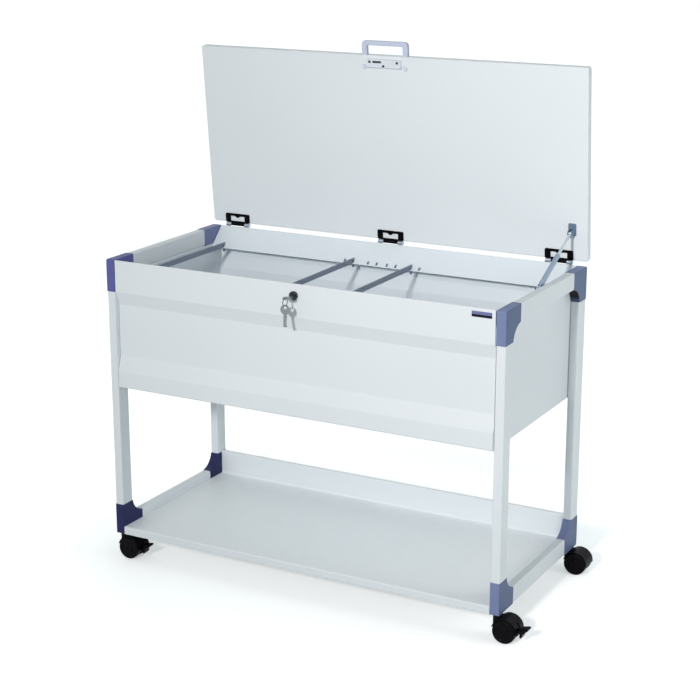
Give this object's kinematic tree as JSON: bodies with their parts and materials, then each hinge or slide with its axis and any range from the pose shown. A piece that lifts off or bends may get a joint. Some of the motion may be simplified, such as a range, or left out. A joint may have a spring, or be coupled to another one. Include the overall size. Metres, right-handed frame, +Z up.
{
  "type": "suspension file trolley",
  "caption": "Tube-frame trolley on twin-wheel casters with a lidded box for suspension files and an open lower shelf.",
  "frame": {"origin": "on the floor at the centre of the frame's footprint", "axes": "+X to the right along the width, +Y from the front panel to the back, +Z up"},
  "size_m": [0.9576, 0.4729, 1.0948],
  "materials": {
    "body_paint": "satin powder coat",
    "corner_plastic": "moulded slate blue plastic",
    "handle_plastic": "moulded lavender grey plastic",
    "bar_paint": "satin grey blue paint",
    "strut_steel": "bright plated steel",
    "black_plastic": "moulded black plastic",
    "keeper_paint": "satin powder coat",
    "lock_nickel": "nickel plate",
    "label_plastic": "blank plate"
  },
  "bodies": {
    "frame": {"front_left_post": "body_paint", "front_right_post": "body_paint", "rear_left_post": "body_paint", "rear_right_post": "body_paint", "left_top_rail": "body_paint", "left_bottom_rail": "body_paint", "left_side_panel": "body_paint", "left_end_bar": "bar_paint", "right_top_rail": "body_paint", "right_bottom_rail": "body_paint", "right_side_panel": "body_paint", "right_end_bar": "bar_paint", "front_panel": "body_paint", "rear_panel": "body_paint", "box_floor": "body_paint", "shelf_tray": "body_paint", "top_corner_connectors": "corner_plastic", "bottom_corner_connectors": "corner_plastic", "hinge_bases": "strut_steel", "hinge_pins": "strut_steel", "strut_rail_bracket": "black_plastic", "lock_barrel": "lock_nickel", "lock_nut": "lock_nickel", "label_plate": "label_plastic", "caster_stems": "strut_steel"},
    "lid": {"lid_pan": "body_paint", "lid_liner": "body_paint", "lid_handle": "handle_plastic", "keeper_plate": "keeper_paint", "keeper_screws": "lock_nickel", "hinge_leaves": "black_plastic", "strut_lid_bracket": "keeper_paint"},
    "strut_cylinder": {"strut_cylinder": "strut_steel"},
    "strut_rod": {"strut_rod": "strut_steel"},
    "lock_core": {"lock_plug": "lock_nickel", "lock_cam": "lock_nickel", "key": "lock_nickel"},
    "key_ring": {"key_ring": "lock_nickel"},
    "spare_key": {"spare_key": "lock_nickel"},
    "left_middle_bar": {"left_middle_bar": "bar_paint"},
    "right_middle_bar": {"right_middle_bar": "bar_paint"},
    "front_left_caster": {"front_left_caster_hood": "black_plastic", "front_left_caster_axle": "strut_steel"},
    "front_left_caster_front_wheel": {"front_left_caster_front_wheel": "black_plastic"},
    "front_left_caster_rear_wheel": {"front_left_caster_rear_wheel": "black_plastic"},
    "front_left_brake_lever": {"front_left_brake_lever": "black_plastic"},
    "front_right_caster": {"front_right_caster_hood": "black_plastic", "front_right_caster_axle": "strut_steel"},
    "front_right_caster_front_wheel": {"front_right_caster_front_wheel": "black_plastic"},
    "front_right_caster_rear_wheel": {"front_right_caster_rear_wheel": "black_plastic"},
    "front_right_brake_lever": {"front_right_brake_lever": "black_plastic"},
    "rear_left_caster": {"rear_left_caster_hood": "black_plastic", "rear_left_caster_axle": "strut_steel"},
    "rear_left_caster_front_wheel": {"rear_left_caster_front_wheel": "black_plastic"},
    "rear_left_caster_rear_wheel": {"rear_left_caster_rear_wheel": "black_plastic"},
    "rear_right_caster": {"rear_right_caster_hood": "black_plastic", "rear_right_caster_axle": "strut_steel"},
    "rear_right_caster_front_wheel": {"rear_right_caster_front_wheel": "black_plastic"},
    "rear_right_caster_rear_wheel": {"rear_right_caster_rear_wheel": "black_plastic"}
  },
  "joints": [
    {"name": "lid_close", "type": "hinge", "parent": "frame", "child": "lid", "pos_m": [0, 0.2098, 0.6645], "axis": [1, 0, 0], "range_deg": [0, 84.7], "stiffness_Nm_per_rad": 2, "springref_deg": -114.59},
    {"name": "strut_swing", "type": "hinge", "parent": "frame", "child": "strut_cylinder", "pos_m": [0.416, 0.0278, 0.6473], "axis": [1, 0, 0], "range_deg": [-23.46, 0]},
    {"name": "strut_slide", "type": "slide", "parent": "strut_cylinder", "child": "strut_rod", "axis": [0, 0.8993, 0.4373], "range_m": [-0.0645, 0]},
    {"name": "lock_turn", "type": "hinge", "parent": "frame", "child": "lock_core", "pos_m": [0, -0.206, 0.637], "axis": [0, 1, 0], "range_deg": [0, 90]},
    {"name": "key_ring_swing", "type": "hinge", "parent": "lock_core", "child": "key_ring", "pos_m": [0, -0.24005, 0.637], "axis": [0, 1, 0], "range_deg": [-25, 25]},
    {"name": "spare_key_swing", "type": "hinge", "parent": "key_ring", "child": "spare_key", "pos_m": [0, -0.24005, 0.62036], "axis": [0, 1, 0], "range_deg": [-35, 35]},
    {"name": "left_bar_lift", "type": "slide", "parent": "frame", "child": "left_middle_bar", "axis": [0, 0, 1], "range_m": [0, 0.02]},
    {"name": "right_bar_lift", "type": "slide", "parent": "frame", "child": "right_middle_bar", "axis": [0, 0, 1], "range_m": [0, 0.02]},
    {"name": "front_left_swivel", "type": "hinge", "parent": "frame", "child": "front_left_caster", "pos_m": [-0.44, -0.188, 0.053], "axis": [0, 0, 1], "continuous": true},
    {"name": "front_left_front_wheel_spin", "type": "hinge", "parent": "front_left_caster", "child": "front_left_caster_front_wheel", "pos_m": [-0.419, -0.188, 0.024], "axis": [0, 1, 0], "continuous": true},
    {"name": "front_left_rear_wheel_spin", "type": "hinge", "parent": "front_left_caster", "child": "front_left_caster_rear_wheel", "pos_m": [-0.419, -0.188, 0.024], "axis": [0, 1, 0], "continuous": true},
    {"name": "front_left_brake_press", "type": "hinge", "parent": "front_left_caster", "child": "front_left_brake_lever", "pos_m": [-0.4011, -0.188, 0.0288], "axis": [0, 1, 0], "range_deg": [0, 14]},
    {"name": "front_right_swivel", "type": "hinge", "parent": "frame", "child": "front_right_caster", "pos_m": [0.44, -0.188, 0.053], "axis": [0, 0, 1], "continuous": true},
    {"name": "front_right_front_wheel_spin", "type": "hinge", "parent": "front_right_caster", "child": "front_right_caster_front_wheel", "pos_m": [0.461, -0.188, 0.024], "axis": [0, 1, 0], "continuous": true},
    {"name": "front_right_rear_wheel_spin", "type": "hinge", "parent": "front_right_caster", "child": "front_right_caster_rear_wheel", "pos_m": [0.461, -0.188, 0.024], "axis": [0, 1, 0], "continuous": true},
    {"name": "front_right_brake_press", "type": "hinge", "parent": "front_right_caster", "child": "front_right_brake_lever", "pos_m": [0.4789, -0.188, 0.0288], "axis": [0, 1, 0], "range_deg": [0, 14]},
    {"name": "rear_left_swivel", "type": "hinge", "parent": "frame", "child": "rear_left_caster", "pos_m": [-0.44, 0.188, 0.053], "axis": [0, 0, 1], "continuous": true},
    {"name": "rear_left_front_wheel_spin", "type": "hinge", "parent": "rear_left_caster", "child": "rear_left_caster_front_wheel", "pos_m": [-0.419, 0.188, 0.024], "axis": [0, 1, 0], "continuous": true},
    {"name": "rear_left_rear_wheel_spin", "type": "hinge", "parent": "rear_left_caster", "child": "rear_left_caster_rear_wheel", "pos_m": [-0.419, 0.188, 0.024], "axis": [0, 1, 0], "continuous": true},
    {"name": "rear_right_swivel", "type": "hinge", "parent": "frame", "child": "rear_right_caster", "pos_m": [0.44, 0.188, 0.053], "axis": [0, 0, 1], "continuous": true},
    {"name": "rear_right_front_wheel_spin", "type": "hinge", "parent": "rear_right_caster", "child": "rear_right_caster_front_wheel", "pos_m": [0.461, 0.188, 0.024], "axis": [0, 1, 0], "continuous": true},
    {"name": "rear_right_rear_wheel_spin", "type": "hinge", "parent": "rear_right_caster", "child": "rear_right_caster_rear_wheel", "pos_m": [0.461, 0.188, 0.024], "axis": [0, 1, 0], "continuous": true}
  ],
  "couplings": [
    {"joint": "strut_swing", "follows": "lid_close", "ratio": -0.27638},
    {"joint": "strut_slide", "follows": "lid_close", "m_per_rad": -0.043566}
  ]
}
